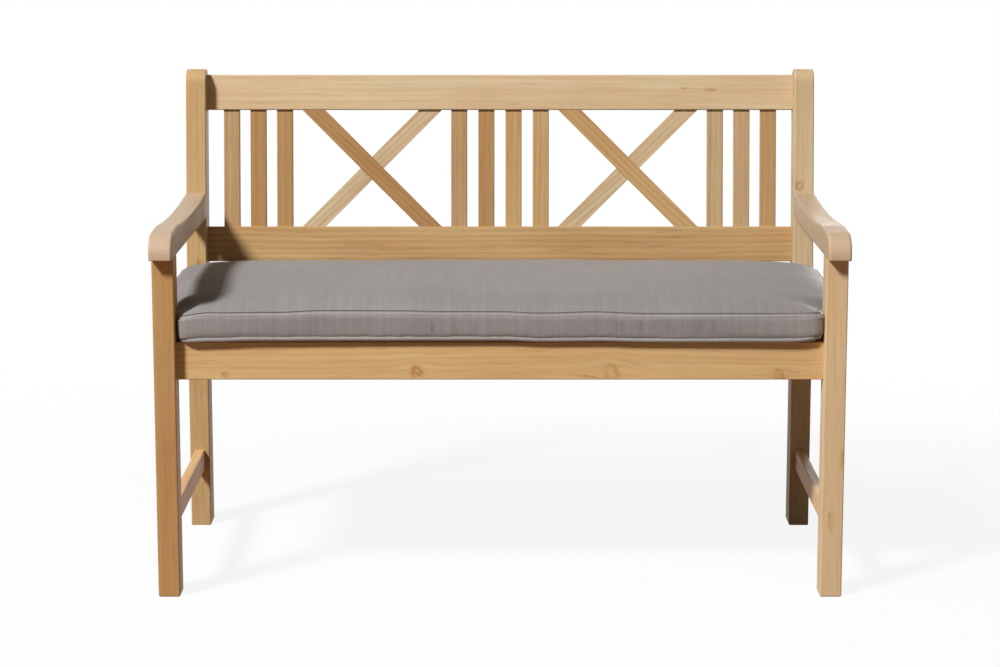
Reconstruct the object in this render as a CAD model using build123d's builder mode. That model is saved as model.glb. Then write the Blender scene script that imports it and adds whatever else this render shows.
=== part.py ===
from build123d import *
import os
from math import asin, atan2, cos, degrees, hypot, radians, sin, tan

# Two-seat garden bench in solid wood, with a raked back of slats and crosses, shaped arms
# and a loose box cushion. Millimetres, +Z up, the front faces -Y. The origin is on the
# floor, at the middle of the bench's bounding box.

# Whole bench
bench_width = 1200          # over the outer faces of the legs
bench_height = 880          # floor to the tops of the back posts
seat_height = 452           # floor to the tops of the seat boards
arm_rise = 148              # seat boards to the undersides of the arms
bend_rise = 23              # seat boards to where the back legs start to lean
side_depth = 516            # front face of a front leg to front face of a back leg
rake = 7.5                  # lean of the back, in degrees

# Legs
leg_width = 38
front_leg_depth = 50
back_leg_depth = 60         # at the bend and below it
post_depth = 50             # at the top of the post
bend_radius = 160
leg_arris = 2.5
foot_chamfer = 2

# Arms
arm_width = 40
arm_overhang = 26           # nose in front of the front leg
arm_thickness = 47          # at its highest
arm_nose_radius = 38
arm_nose_drop = 2           # top of the nose, below the highest line
arm_crest_run = 105         # nose to the highest line
arm_dish = 8                # how far the top sinks in the middle
arm_round = 4

# Rails of the seat
seat_rail_height = 67
front_rail_thickness = 28
front_rail_recess = 20
rear_rail_thickness = 22
rear_rail_recess = 2
side_rail_thickness = 20
side_rail_recess = 4        # behind the outer faces of the legs
bearer_thickness = 22

# Seat boards
seat_board_count = 7
seat_board_thickness = 18
seat_board_gap = 6.5
screw_inset = 16            # from a board's long edge

# Stretchers between the legs of each side
stretcher_height = 38
stretcher_thickness = 18
stretcher_rise = 112        # floor to its underside
stretcher_shoulder = 6

# Back, measured along the rake and behind the post's front face
back_rail_height = 67
back_rail_thickness = 20
back_rail_recess = 28
lower_rail_rise = 43        # from the bend
top_rail_drop = 10.5        # below the tops of the posts
slat_width = 31
slat_thickness = 11
slat_recess = 5.5           # behind the front faces of the rails
outer_slat_count = 3
outer_slat_gap = 20
post_slat_gap = 31
centre_slat_count = 4
centre_slat_gap = 21.3
front_brace_recess = 1
brace_end_gap = 18          # from a brace's corner to the slat beside it

# Joints
rail_shoulder = 8
rail_tenon_thickness = 10
rail_tenon_length = 16
side_tenon_thickness = 9
side_tenon_length = 20
bearer_tenon_length = 10
arm_tenon_width = 18
arm_tenon_depth = 26
arm_tenon_height = 22
slat_tenon_thickness = 6
slat_tenon_length = 10
slat_shoulder = 3
fit_gap = 0.1
peg_radius = 4
peg_bite = 2                # how far a peg goes past the tenon that it locks
peg_sink = 0.3
peg_gap = 0.15
screw_radius = 2.2
screw_head_radius = 4.4
countersink_angle = 90
screw_length = 42
screw_sink = 0.5
board_arris = 2

# Cushion
cushion_rest_gap = 0.3      # above the seat boards
cushion_side_inset = 4      # inside the outer faces of the legs, where it spreads under the arms
cushion_leg_gap = 7         # to each front leg, where it is squeezed between them
cushion_neck_gap = 5        # behind the front legs, where it starts to spread
cushion_front_inset = 9     # behind the front faces of the front legs
cushion_back_gap = 7        # in front of the back legs
cushion_spread_run = 52
cushion_boxing = 42.6       # between its two seams
cushion_foot_rise = 6.4     # bottom face to the lower seam
cushion_foot_tuck = 8
cushion_bulge = 2
cushion_crown = 28
cushion_crown_run = 150
cushion_draw = 4            # how far its sides pull in between corners
cushion_front_round = 13
cushion_back_round = 44
cushion_neck_round = 26
cover_thickness = 4
core_gap = 0.3
piping_radius = 4.2
piping_stand = 1.5          # how far the cord stands out of its seam
crown_level_shares = [(0.07, 0.33), (0.3, 0.68), (1, 1)]

# Cuts run past what they cut by this much
overrun = 5

inner_x = bench_width / 2 - leg_width
outer_x = bench_width / 2
leg_height = seat_height + arm_rise
bend_height = seat_height + bend_rise
sides = {"left": -1, "right": 1}

# Depth over all, from the arm's nose to the rounded top of the back post
post_round = post_depth / 2
lean = radians(rake)
post_rise = (bench_height - post_round - bend_height + post_round * sin(lean)) / cos(lean)
post_reach = side_depth + post_rise * sin(lean) + post_round * cos(lean) + post_round
front_y = (arm_overhang - post_reach) / 2
back_y = front_y + side_depth
front_leg_back_y = front_y + front_leg_depth

# The back lies in this plane: X across the bench, Y up the rake, Z out to the front
back_plane = Plane(
    origin=(0, back_y, bend_height), x_dir=(1, 0, 0), z_dir=(0, -cos(lean), sin(lean))
)
rake_axis = Axis((0, back_y, bend_height), (0, sin(lean), cos(lean)))


def post_face_y(height):
    """Front face of a back post at a height above its bend."""
    return back_y + (height - bend_height) * tan(lean)


def post_depth_at(rise):
    """Depth of a back post at a rise along the rake."""
    return back_leg_depth + (post_depth - back_leg_depth) * rise / post_rise


def across(sign, near, far):
    """A span in X between two distances from the middle, on one side of the bench."""
    return (near, far) if sign > 0 else (-far, -near)


def centred(middle, size):
    """A span of a size about its middle."""
    return (middle - size / 2, middle + size / 2)


def grown(span, margin):
    """A span made longer by a margin at each end."""
    return (span[0] - margin, span[1] + margin)


def block(x_span, y_span, z_span, mode=Mode.ADD):
    """A squared block that fills three spans."""
    spans = (x_span, y_span, z_span)
    with Locations(tuple(sum(span) / 2 for span in spans)):
        Box(*(span[1] - span[0] for span in spans), mode=mode)


def mortise(x_span, y_span, z_span):
    """A pocket round a squared tenon."""
    block(*(grown(span, fit_gap) for span in (x_span, y_span, z_span)), mode=Mode.SUBTRACT)


def back_board(u_span, v_span, recess_span, mode=Mode.ADD):
    """A squared board of the back: across, up the rake, and behind the post's front face."""
    with BuildSketch(back_plane.offset(-recess_span[0])) as face:
        with Locations((sum(u_span) / 2, sum(v_span) / 2)):
            Rectangle(u_span[1] - u_span[0], v_span[1] - v_span[0])
    extrude(face.sketch, amount=recess_span[0] - recess_span[1], mode=mode)


def back_mortise(u_span, v_span, recess_span):
    """A pocket in the back round a squared tenon."""
    spans = (grown(span, fit_gap) for span in (u_span, v_span, recess_span))
    back_board(*spans, mode=Mode.SUBTRACT)


def finish(part, name):
    """Names a finished piece and writes it."""
    part.label = name
    export_step(part, f"parts/{name}.step")


# Spans of the seat frame
seat_rail_z = (seat_height - seat_rail_height, seat_height)
seat_tenon_z = grown(seat_rail_z, -rail_shoulder)
board_underside = seat_height - seat_board_thickness
side_rail_z = (seat_rail_z[0], board_underside)
side_tenon_z = grown(side_rail_z, -rail_shoulder)
front_rail_y = (front_y + front_rail_recess, front_y + front_rail_recess + front_rail_thickness)
rear_rail_y = (back_y + rear_rail_recess, back_y + rear_rail_recess + rear_rail_thickness)
front_tenon_y = centred(sum(front_rail_y) / 2, rail_tenon_thickness)
rear_tenon_y = centred(sum(rear_rail_y) / 2, rail_tenon_thickness)
side_rail_x = (outer_x - side_rail_recess - side_rail_thickness, outer_x - side_rail_recess)
side_tenon_x = centred(sum(side_rail_x) / 2, side_tenon_thickness)
side_y = (front_leg_back_y, back_y)
rail_tenon_x = (inner_x, inner_x + rail_tenon_length)

# Spans of the stretchers
leg_middle_x = inner_x + leg_width / 2
stretcher_x = centred(leg_middle_x, stretcher_thickness)
stretcher_tenon_x = centred(leg_middle_x, side_tenon_thickness)
stretcher_z = (stretcher_rise, stretcher_rise + stretcher_height)
stretcher_tenon_z = grown(stretcher_z, -stretcher_shoulder)

# Spans of the arms' tenons
arm_x = (inner_x, inner_x + arm_width)
arm_tenon_x = centred(leg_middle_x, arm_tenon_width)
leg_top_tenon_y = centred(front_y + front_leg_depth / 2, arm_tenon_depth)
leg_top_tenon_z = (leg_height, leg_height + arm_tenon_height)
arm_tenon_z = centred(leg_height + arm_thickness / 2, arm_tenon_height)
arm_tenon_y = (post_face_y(leg_height), post_face_y(arm_tenon_z[1]) + side_tenon_length)

# Spans of the back
rail_recess_span = (back_rail_recess, back_rail_recess + back_rail_thickness)
lower_rail_v = (lower_rail_rise, lower_rail_rise + back_rail_height)
top_rail_top = post_rise + post_round - top_rail_drop
top_rail_v = (top_rail_top - back_rail_height, top_rail_top)
opening_v = (lower_rail_v[1], top_rail_v[0])
opening_middle = sum(opening_v) / 2
back_opening = opening_v[1] - opening_v[0]
back_tenon_span = centred(sum(rail_recess_span) / 2, rail_tenon_thickness)
slat_span = (back_rail_recess + slat_recess, back_rail_recess + slat_recess + slat_thickness)
front_brace_span = (
    back_rail_recess + front_brace_recess, back_rail_recess + front_brace_recess + slat_thickness
)
slat_tenon_span = (front_brace_span[1] - slat_tenon_thickness, front_brace_span[1])
lap_recess = (slat_span[0] + front_brace_span[1]) / 2

# Slats: a group at each post and one in the middle, with a cross in each bay between them
outer_pitch = slat_width + outer_slat_gap
outer_slats = [
    inner_x - post_slat_gap - slat_width / 2 - index * outer_pitch
    for index in range(outer_slat_count)
]
centre_pitch = slat_width + centre_slat_gap
centre_slats = [
    (index - (centre_slat_count - 1) / 2) * centre_pitch for index in range(centre_slat_count)
]
slat_places = sorted([-place for place in outer_slats] + centre_slats + outer_slats)
bay = (centre_slats[-1] + slat_width / 2, outer_slats[-1] - slat_width / 2)
cross_place = sum(bay) / 2

# A brace's angle, so that its corners stop brace_end_gap short of the slats beside it
brace_reach = (bay[1] - bay[0]) / 2 - brace_end_gap
brace_angle = atan2(back_opening / 2, brace_reach) + asin(
    slat_width / 2 / hypot(back_opening / 2, brace_reach)
)
brace_run = back_opening / 2 / tan(brace_angle)
brace_foot_width = slat_width / sin(brace_angle)
brace_length = back_opening / sin(brace_angle) + 2 * slat_width

# Tenon spans across the bench at the rails: every slat, and both ends of every brace
slat_tenons = [centred(place, slat_width - 2 * slat_shoulder) for place in slat_places]


def brace_tenon(middle, slope, top):
    """Span across the bench of a brace's tenon at its top or bottom end."""
    end = middle + slope * brace_run * (1 if top else -1)
    return centred(end, brace_foot_width - 2 * slat_shoulder)


def slat_sockets(rail_face, direction, top):
    """Mortises in a back rail for the slats and the braces."""
    depth_span = tuple(sorted((rail_face, rail_face + direction * slat_tenon_length)))
    braces = [
        brace_tenon(sign * cross_place, slope, top) for sign in sides.values() for slope in (-1, 1)
    ]
    for span in slat_tenons + braces:
        back_mortise(span, depth_span, slat_tenon_span)


# Seat boards, from behind the front legs to the back legs
board_width = (side_y[1] - side_y[0] - (seat_board_count + 1) * seat_board_gap) / seat_board_count
board_places = [
    side_y[0] + seat_board_gap + board_width / 2 + index * (board_width + seat_board_gap)
    for index in range(seat_board_count)
]
screw_x = sum(side_rail_x) / 2
board_screws = [
    [(sign * screw_x, place + shift) for sign in sides.values()
     for shift in (screw_inset - board_width / 2, board_width / 2 - screw_inset)] + [(0, place)]
    for place in board_places
]
all_screws = [spot for spots in board_screws for spot in spots]

# Pegs: where each one locks a tenon, driven in from an outer side or from behind
side_pegs = [
    (side_y[0] - side_tenon_length / 2, sum(side_rail_z) / 2, side_tenon_x[0], outer_x),
    (side_y[1] + side_tenon_length / 2, sum(side_rail_z) / 2, side_tenon_x[0], outer_x),
    (side_y[0] - side_tenon_length / 2, sum(stretcher_z) / 2, stretcher_tenon_x[0], outer_x),
    (side_y[1] + side_tenon_length / 2, sum(stretcher_z) / 2, stretcher_tenon_x[0], outer_x),
    (sum(leg_top_tenon_y) / 2, sum(leg_top_tenon_z) / 2, arm_tenon_x[0], arm_x[1]),
    (post_face_y(sum(arm_tenon_z) / 2) + side_tenon_length / 2, sum(arm_tenon_z) / 2,
     arm_tenon_x[0], outer_x),
]
peg_x = sum(rail_tenon_x) / 2
peg_seats = []
for sign in sides.values():
    for y, z, tenon_x, mouth_x in side_pegs:
        tip = Plane(origin=(sign * (tenon_x - peg_bite), y, z), z_dir=(sign, 0, 0))
        peg_seats.append((tip, mouth_x - tenon_x + peg_bite))
    for v_span in (lower_rail_v, top_rail_v):
        rise = sum(v_span) / 2
        recess = back_tenon_span[0] - peg_bite
        tip = back_plane.from_local_coords((sign * peg_x, rise, -recess))
        peg_seats.append((Plane(origin=tip, z_dir=-back_plane.z_dir), post_depth_at(rise) - recess))
    tip_y = rear_tenon_y[0] - peg_bite
    tip = Plane(origin=(sign * peg_x, tip_y, sum(seat_tenon_z) / 2), z_dir=(0, 1, 0))
    peg_seats.append((tip, back_y + back_leg_depth - tip_y))


def pegs(radius, sink):
    """Every peg of the bench, sunk in its hole or, with a negative sink, standing out."""
    for tip, length in peg_seats:
        with Locations(tip):
            Cylinder(radius, length - sink, align=(Align.CENTER, Align.CENTER, Align.MIN))


os.makedirs("parts", exist_ok=True)

# Holes for the pegs, cut in every piece that a peg passes through
with BuildPart() as peg_holes:
    pegs(peg_radius + peg_gap, -overrun)

# Front legs, with a stub tenon on top for the arm
for side, sign in sides.items():
    with BuildPart() as front_leg:
        block(across(sign, inner_x, outer_x), (front_y, front_leg_back_y), (0, leg_height))
        fillet(front_leg.edges().filter_by(Axis.Z), leg_arris)
        chamfer(front_leg.faces().sort_by(Axis.Z)[0].edges(), foot_chamfer)
        block(across(sign, *arm_tenon_x), leg_top_tenon_y, leg_top_tenon_z)
        side_tenon_y = (front_leg_back_y - side_tenon_length, front_leg_back_y)
        mortise(across(sign, *rail_tenon_x), front_tenon_y, seat_tenon_z)
        mortise(across(sign, *side_tenon_x), side_tenon_y, side_tenon_z)
        mortise(across(sign, *stretcher_tenon_x), side_tenon_y, stretcher_tenon_z)
        add(peg_holes.part, mode=Mode.SUBTRACT)
    finish(front_leg.part, f"front_leg_{side}")

# Back legs: upright to the bend, then raked to a rounded top
post_foot = Vector(back_y, bend_height)
post_head = post_foot + Vector(sin(lean), cos(lean)) * post_rise
post_head_back = post_head + Vector(cos(lean), -sin(lean)) * post_depth
for side, sign in sides.items():
    with BuildPart() as back_leg:
        with BuildSketch(Plane.YZ.offset(across(sign, inner_x, outer_x)[0])) as profile:
            with BuildLine():
                Polyline(post_head, post_foot, (back_y, 0), (back_y + back_leg_depth, 0),
                         (back_y + back_leg_depth, bend_height), post_head_back)
                TangentArc(post_head_back, post_head, tangent=(sin(lean), cos(lean)))
            make_face()
            fillet(profile.vertices().filter_by(lambda corner: corner.Z == bend_height), bend_radius)
        extrude(amount=leg_width)
        fillet(back_leg.faces().filter_by(Axis.X).edges(), leg_arris)
        side_tenon_y = (back_y, back_y + side_tenon_length)
        mortise(across(sign, *rail_tenon_x), rear_tenon_y, seat_tenon_z)
        mortise(across(sign, *side_tenon_x), side_tenon_y, side_tenon_z)
        mortise(across(sign, *stretcher_tenon_x), side_tenon_y, stretcher_tenon_z)
        mortise(across(sign, *arm_tenon_x), arm_tenon_y, arm_tenon_z)
        for v_span in (lower_rail_v, top_rail_v):
            back_mortise(across(sign, *rail_tenon_x), grown(v_span, -rail_shoulder), back_tenon_span)
        add(peg_holes.part, mode=Mode.SUBTRACT)
    finish(back_leg.part, f"back_leg_{side}")

# Arms: dished along the top, with a rounded nose in front and a tenon into the post
arm_face = (post_face_y(leg_height), post_face_y(leg_height + arm_thickness))
nose_y = front_y - arm_overhang
arm_top = leg_height + arm_thickness
nose_top = arm_top - arm_nose_drop
crest = (nose_y + arm_crest_run, arm_top)
dish = ((crest[0] + arm_face[1]) / 2, arm_top - arm_dish)
for side, sign in sides.items():
    with BuildPart() as arm:
        with BuildSketch(Plane.YZ.offset(across(sign, *arm_x)[0])):
            with BuildLine():
                ThreePointArc(crest, dish, (arm_face[1], arm_top))
                Polyline((arm_face[1], arm_top), (arm_face[0], leg_height), (nose_y, leg_height),
                         (nose_y, nose_top - arm_nose_radius))
                TangentArc((nose_y, nose_top - arm_nose_radius),
                           (nose_y + arm_nose_radius, nose_top), tangent=(0, 1))
                Line((nose_y + arm_nose_radius, nose_top), crest)
            make_face()
        extrude(amount=arm_width)
        joint = arm.faces().sort_by(Axis.Y)[-1].edges()
        upper = (arm.faces().filter_by(Axis.X).edges() - joint).group_by(Axis.Z)[1:]
        fillet([edge for group in upper for edge in group], arm_round)
        joint = arm.faces().sort_by(Axis.Y)[-1].edges()
        fillet(arm.faces().sort_by(Axis.Z)[0].edges() - joint, leg_arris)
        block(across(sign, *arm_tenon_x), arm_tenon_y, arm_tenon_z)
        mortise(across(sign, *arm_tenon_x), leg_top_tenon_y, leg_top_tenon_z)
        add(peg_holes.part, mode=Mode.SUBTRACT)
    finish(arm.part, f"arm_{side}")

# Front and rear seat rails, with a socket each for the centre bearer
bearer_x = (-bearer_thickness / 2, bearer_thickness / 2)
bearer_tenon_x = centred(0, rail_tenon_thickness)
bearer_y = (front_rail_y[1], rear_rail_y[0])
bearer_tenon_y = grown(bearer_y, bearer_tenon_length)
rails = {
    "front_seat_rail": (front_rail_y, front_tenon_y),
    "rear_seat_rail": (rear_rail_y, rear_tenon_y),
}
for name, (rail_y, tenon_y) in rails.items():
    with BuildPart() as seat_rail:
        block((-inner_x, inner_x), rail_y, seat_rail_z)
        fillet(seat_rail.edges().filter_by(Axis.X), board_arris)
        block((-rail_tenon_x[1], rail_tenon_x[1]), tenon_y, seat_tenon_z)
        mortise(bearer_tenon_x, bearer_tenon_y, side_tenon_z)
        add(peg_holes.part, mode=Mode.SUBTRACT)
    finish(seat_rail.part, name)

# Side seat rails, under the ends of the seat boards
for side, sign in sides.items():
    with BuildPart() as side_rail:
        block(across(sign, *side_rail_x), side_y, side_rail_z)
        fillet(side_rail.edges().filter_by(Axis.Y), board_arris / 2)
        block(across(sign, *side_tenon_x), grown(side_y, side_tenon_length), side_tenon_z)
        add(peg_holes.part, mode=Mode.SUBTRACT)
        with Locations(*((x, y, board_underside) for x, y in all_screws if x * sign > 0)):
            Hole(screw_radius + fit_gap, depth=screw_length)
    finish(side_rail.part, f"side_seat_rail_{side}")

# Centre bearer, from the front seat rail to the rear one
with BuildPart() as bearer:
    block(bearer_x, bearer_y, side_rail_z)
    fillet(bearer.edges().filter_by(Axis.Y), board_arris / 2)
    block(bearer_tenon_x, bearer_tenon_y, side_tenon_z)
    with Locations(*((x, y, board_underside) for x, y in all_screws if x == 0)):
        Hole(screw_radius + fit_gap, depth=screw_length)
finish(bearer.part, "seat_centre_bearer")

# Seat boards, lengthwise, with a countersunk hole for each screw
for index, place in enumerate(board_places):
    with BuildPart() as seat_board:
        block((-side_rail_x[1], side_rail_x[1]), centred(place, board_width),
              (board_underside, seat_height))
        fillet(seat_board.edges().filter_by(Axis.X), board_arris)
        with Locations(*((x, y, seat_height) for x, y in board_screws[index])):
            CounterSinkHole(screw_radius + fit_gap, screw_head_radius + screw_sink + fit_gap,
                            counter_sink_angle=countersink_angle)
    finish(seat_board.part, f"seat_board_{index + 1}")

# Seat screws: one group of separate solids
with BuildPart() as screws:
    with Locations(*((x, y, seat_height - screw_sink) for x, y in all_screws)):
        Cylinder(screw_radius, screw_length, align=(Align.CENTER, Align.CENTER, Align.MAX))
        Cone(screw_radius, screw_head_radius, screw_head_radius - screw_radius,
             align=(Align.CENTER, Align.CENTER, Align.MAX))
finish(screws.part, "seat_screws")

# Side stretchers
for side, sign in sides.items():
    with BuildPart() as stretcher:
        block(across(sign, *stretcher_x), side_y, stretcher_z)
        fillet(stretcher.edges().filter_by(Axis.Y), board_arris)
        block(across(sign, *stretcher_tenon_x), grown(side_y, side_tenon_length), stretcher_tenon_z)
        add(peg_holes.part, mode=Mode.SUBTRACT)
    finish(stretcher.part, f"side_stretcher_{side}")

# Back rails, with sockets for the slats and braces along one edge
back_rails = {
    "lower_back_rail": (lower_rail_v, opening_v[0], -1, False),
    "top_back_rail": (top_rail_v, opening_v[1], 1, True),
}
for name, (rail_v, socket_face, direction, top) in back_rails.items():
    with BuildPart() as back_rail:
        back_board((-inner_x, inner_x), rail_v, rail_recess_span)
        fillet(back_rail.edges().filter_by(Axis.X), board_arris)
        back_board((-rail_tenon_x[1], rail_tenon_x[1]), grown(rail_v, -rail_shoulder),
                   back_tenon_span)
        slat_sockets(socket_face, direction, top)
        add(peg_holes.part, mode=Mode.SUBTRACT)
    finish(back_rail.part, name)

# Upright slats
for index, place in enumerate(slat_places):
    with BuildPart() as slat:
        back_board(centred(place, slat_width), opening_v, slat_span)
        fillet(slat.edges().filter_by(rake_axis), board_arris)
        back_board(centred(place, slat_width - 2 * slat_shoulder),
                   grown(opening_v, slat_tenon_length), slat_tenon_span)
    finish(slat.part, f"back_slat_{index + 1:02d}")

# Braces: the falling one in front and the rising one behind, halved where they cross
layers = {
    "falling": (-1, front_brace_span, (lap_recess - fit_gap, front_brace_span[1] + overrun)),
    "rising": (1, slat_span, (slat_span[0] - overrun, lap_recess)),
}
for side, sign in sides.items():
    for kind, (slope, recess_span, lap_span) in layers.items():
        middle = (sign * cross_place, opening_middle)
        turn = degrees(slope * brace_angle)
        with BuildPart() as brace:
            with BuildSketch(back_plane.offset(-recess_span[0])):
                with Locations(middle):
                    Rectangle(brace_length, slat_width, rotation=turn)
                    Rectangle(2 * brace_length, back_opening, mode=Mode.INTERSECT)
            extrude(amount=-slat_thickness)
            lower_v = (opening_v[0] - slat_tenon_length, opening_v[0])
            upper_v = (opening_v[1], opening_v[1] + slat_tenon_length)
            back_board(brace_tenon(middle[0], slope, False), lower_v, slat_tenon_span)
            back_board(brace_tenon(middle[0], slope, True), upper_v, slat_tenon_span)
            with BuildSketch(back_plane.offset(-lap_span[0])):
                with Locations(middle):
                    Rectangle(brace_length, slat_width + 2 * fit_gap, rotation=-turn)
            extrude(amount=lap_span[0] - lap_span[1], mode=Mode.SUBTRACT)
        finish(brace.part, f"{kind}_brace_{side}")

# Tenon pegs: one group of separate solids
with BuildPart() as tenon_pegs:
    pegs(peg_radius, peg_sink)
finish(tenon_pegs.part, "tenon_pegs")


cushion_half_width = outer_x - cushion_side_inset
cushion_squeeze = cushion_half_width - (inner_x - cushion_leg_gap)
cushion_neck_depth = front_leg_depth + cushion_neck_gap - cushion_front_inset


def cushion_level(inset, height):
    """Outline of the cushion at a height: squeezed between the front legs, spread behind."""
    fade = 1 - inset / (cushion_crown_run + inset)
    side_x = cushion_half_width - inset
    neck_x = side_x - cushion_squeeze * fade
    start_y = front_y + cushion_front_inset + inset
    neck_y = start_y + cushion_neck_depth * fade
    spread_y = neck_y + cushion_spread_run * fade
    end_y = back_y - cushion_back_gap - inset
    with BuildSketch(Plane.XY.offset(height)) as level:
        with BuildLine():
            ThreePointArc((-neck_x, start_y), (0, start_y + cushion_draw), (neck_x, start_y))
            Polyline((neck_x, start_y), (neck_x, neck_y), (side_x, spread_y))
            ThreePointArc((side_x, spread_y), (side_x - cushion_draw / 2, (spread_y + end_y) / 2),
                          (side_x, end_y))
            ThreePointArc((side_x, end_y), (0, end_y - cushion_draw), (-side_x, end_y))
            ThreePointArc((-side_x, end_y), (cushion_draw / 2 - side_x, (spread_y + end_y) / 2),
                          (-side_x, spread_y))
            Polyline((-side_x, spread_y), (-neck_x, neck_y), (-neck_x, start_y))
        make_face()
        fillet(level.vertices().sort_by(Axis.Y)[2:6], cushion_neck_round)
        fillet(level.vertices().sort_by(Axis.Y)[:2], cushion_front_round)
        fillet(level.vertices().sort_by(Axis.Y)[-2:], cushion_back_round)
    return level.sketch


foot_z = seat_height + cushion_rest_gap
lower_seam_z = foot_z + cushion_foot_rise
upper_seam_z = lower_seam_z + cushion_boxing


def cushion_form(skin):
    """Levels of the crowned cushion, from its foot up, less a skin all round."""
    crown = [
        cushion_level(skin + run * cushion_crown_run, upper_seam_z + rise * cushion_crown - skin)
        for run, rise in crown_level_shares
    ]
    return [
        cushion_level(skin + cushion_foot_tuck, foot_z + skin),
        cushion_level(skin, lower_seam_z + skin),
        cushion_level(skin - cushion_bulge, (lower_seam_z + upper_seam_z) / 2),
        cushion_level(skin, upper_seam_z - skin),
    ] + crown


# Piping: a cord sewn into each seam of the cushion
for name, seam_z in {"lower_piping": lower_seam_z, "upper_piping": upper_seam_z}.items():
    seam = cushion_level(-piping_stand, seam_z).faces()[0].outer_wire()
    with BuildPart() as piping:
        with BuildSketch(Plane(origin=seam @ 0, z_dir=seam % 0)):
            Circle(piping_radius)
        sweep(path=seam)
    finish(piping.part, f"cushion_{name}")

# Cushion: a hollow cover and the foam core in it
with BuildPart() as cover:
    loft(cushion_form(0), ruled=True)
    loft(cushion_form(cover_thickness), ruled=True, mode=Mode.SUBTRACT)
finish(cover.part, "cushion_cover")

with BuildPart() as core:
    loft(cushion_form(cover_thickness + core_gap), ruled=True)
finish(core.part, "cushion_core")
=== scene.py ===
import math

import bmesh
import bpy
from mathutils import Matrix, Vector, noise


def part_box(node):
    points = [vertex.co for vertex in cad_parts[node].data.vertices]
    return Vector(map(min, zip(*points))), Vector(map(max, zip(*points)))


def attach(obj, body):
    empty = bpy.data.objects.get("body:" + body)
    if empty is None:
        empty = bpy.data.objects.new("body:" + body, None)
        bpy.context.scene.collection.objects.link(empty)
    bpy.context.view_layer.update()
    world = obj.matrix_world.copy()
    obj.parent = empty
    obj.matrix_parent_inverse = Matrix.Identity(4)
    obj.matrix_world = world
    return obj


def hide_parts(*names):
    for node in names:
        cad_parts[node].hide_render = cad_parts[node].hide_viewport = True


# Two-seat garden bench in pale straight-grained hardwood, with a loose grey box cushion.
# Metres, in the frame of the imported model: +Z up, the front faces -Y.
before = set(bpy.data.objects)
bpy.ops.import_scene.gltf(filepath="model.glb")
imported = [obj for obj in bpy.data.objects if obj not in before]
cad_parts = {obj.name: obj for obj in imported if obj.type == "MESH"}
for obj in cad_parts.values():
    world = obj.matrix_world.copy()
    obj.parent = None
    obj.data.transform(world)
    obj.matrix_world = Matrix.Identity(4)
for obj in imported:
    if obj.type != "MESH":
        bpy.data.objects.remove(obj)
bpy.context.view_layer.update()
scene = bpy.context.scene
mm = 0.001

# Camera: a pinhole with no roll and no shift, looking slightly down on the bench
PHOTO_WIDTH = 1000
FOCAL_PIXELS = 2691
SENSOR_WIDTH = 36
CAMERA_HEIGHT = 1.283
CAMERA_REACH = 4.576            # in front of the front legs
CAMERA_TILT = math.radians(10.07)
VIEW_END = 100

# Light: a far soft box to the left, in front and above, a weak one high on the right, and a
# low one behind, for the back and the outer slopes of the arms
KEY_PLACE = Vector((-7.6, -8.3, 10.5))
KEY_SIZE = 2.6
KEY_WATTS = 3000
KEY_TONE = (1, 1.03, 1.08)
FILL_PLACE = Vector((1.4, -1.7, 2.6))
FILL_SIZE = 1.4
FILL_WATTS = 6
FILL_TONE = (1, 0.86, 0.72)
REAR_PLACE = Vector((1.6, 5, 0.9))
REAR_SIZE = 1.2
REAR_WATTS = 30
LIGHT_AIM = Vector((0, 0, 0.5))
SKY_LEVEL = 0.02                # light from all round, against 1 for white

# Stage
FLOOR_HALF = 9
FLOOR_TONE = 0.8                # as the camera sees it
FLOOR_BOUNCE = (0.34, 0.20, 0.13)   # the warm light that it throws back up
FLOOR_CLEAR = (0.75, 2.2)       # from where to where the floor fades into the backdrop
FLOOR_VEIL = 0.9                # how much of the backdrop's white the near floor has

WHITE = (1, 1, 1, 1)


def node(tree, kind, *values, out=0, named=None, **settings):
    """Adds a node, fills its sockets in order and by name, and gives one of its outputs."""
    made = tree.nodes.new(kind)
    for key, value in settings.items():
        setattr(made, key, value)
    for key, value in [*enumerate(values), *(named or {}).items()]:
        if isinstance(value, bpy.types.NodeSocket):
            tree.links.new(value, made.inputs[key])
        elif value is not None:
            made.inputs[key].default_value = value
    return made.outputs[out]


def maths(tree, operation, *values, clamp=False):
    """A Math node."""
    return node(tree, "ShaderNodeMath", *values, operation=operation, use_clamp=clamp)


def vector_maths(tree, operation, *values, out=0):
    """A Vector Math node."""
    return node(tree, "ShaderNodeVectorMath", *values, operation=operation, out=out)


def ramp(tree, value, low, high, to_low=0.0, to_high=1.0, smooth=False):
    """Maps a span of a value onto another span, and holds it there."""
    kind = "SMOOTHSTEP" if smooth else "LINEAR"
    return node(tree, "ShaderNodeMapRange", value, low, high, to_low, to_high,
                interpolation_type=kind)


def new_tree(name):
    """A material with an empty node tree and its output."""
    material = bpy.data.materials.new(name)
    material.use_nodes = True
    tree = material.node_tree
    tree.nodes.clear()
    return material, tree, tree.nodes.new("ShaderNodeOutputMaterial")


def surface(tree, output, colour, roughness, height=None, bump=None, sheen=None, specular=0.5):
    """A Principled shader with a colour, a roughness and a bump."""
    shader = tree.nodes.new("ShaderNodeBsdfPrincipled")
    for key, value in {"Base Color": colour, "Roughness": roughness}.items():
        if isinstance(value, bpy.types.NodeSocket):
            tree.links.new(value, shader.inputs[key])
        else:
            shader.inputs[key].default_value = value
    shader.inputs["Specular IOR Level"].default_value = specular
    if height is not None:
        normal = node(tree, "ShaderNodeBump", named={
            "Strength": bump[0], "Distance": bump[1], "Height": height})
        tree.links.new(normal, shader.inputs["Normal"])
    if sheen:
        shader.inputs["Sheen Weight"].default_value = sheen[0]
        shader.inputs["Sheen Roughness"].default_value = sheen[1]
        shader.inputs["Sheen Tint"].default_value = sheen[2]
    tree.links.new(shader.outputs[0], output.inputs["Surface"])
    return shader


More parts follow.
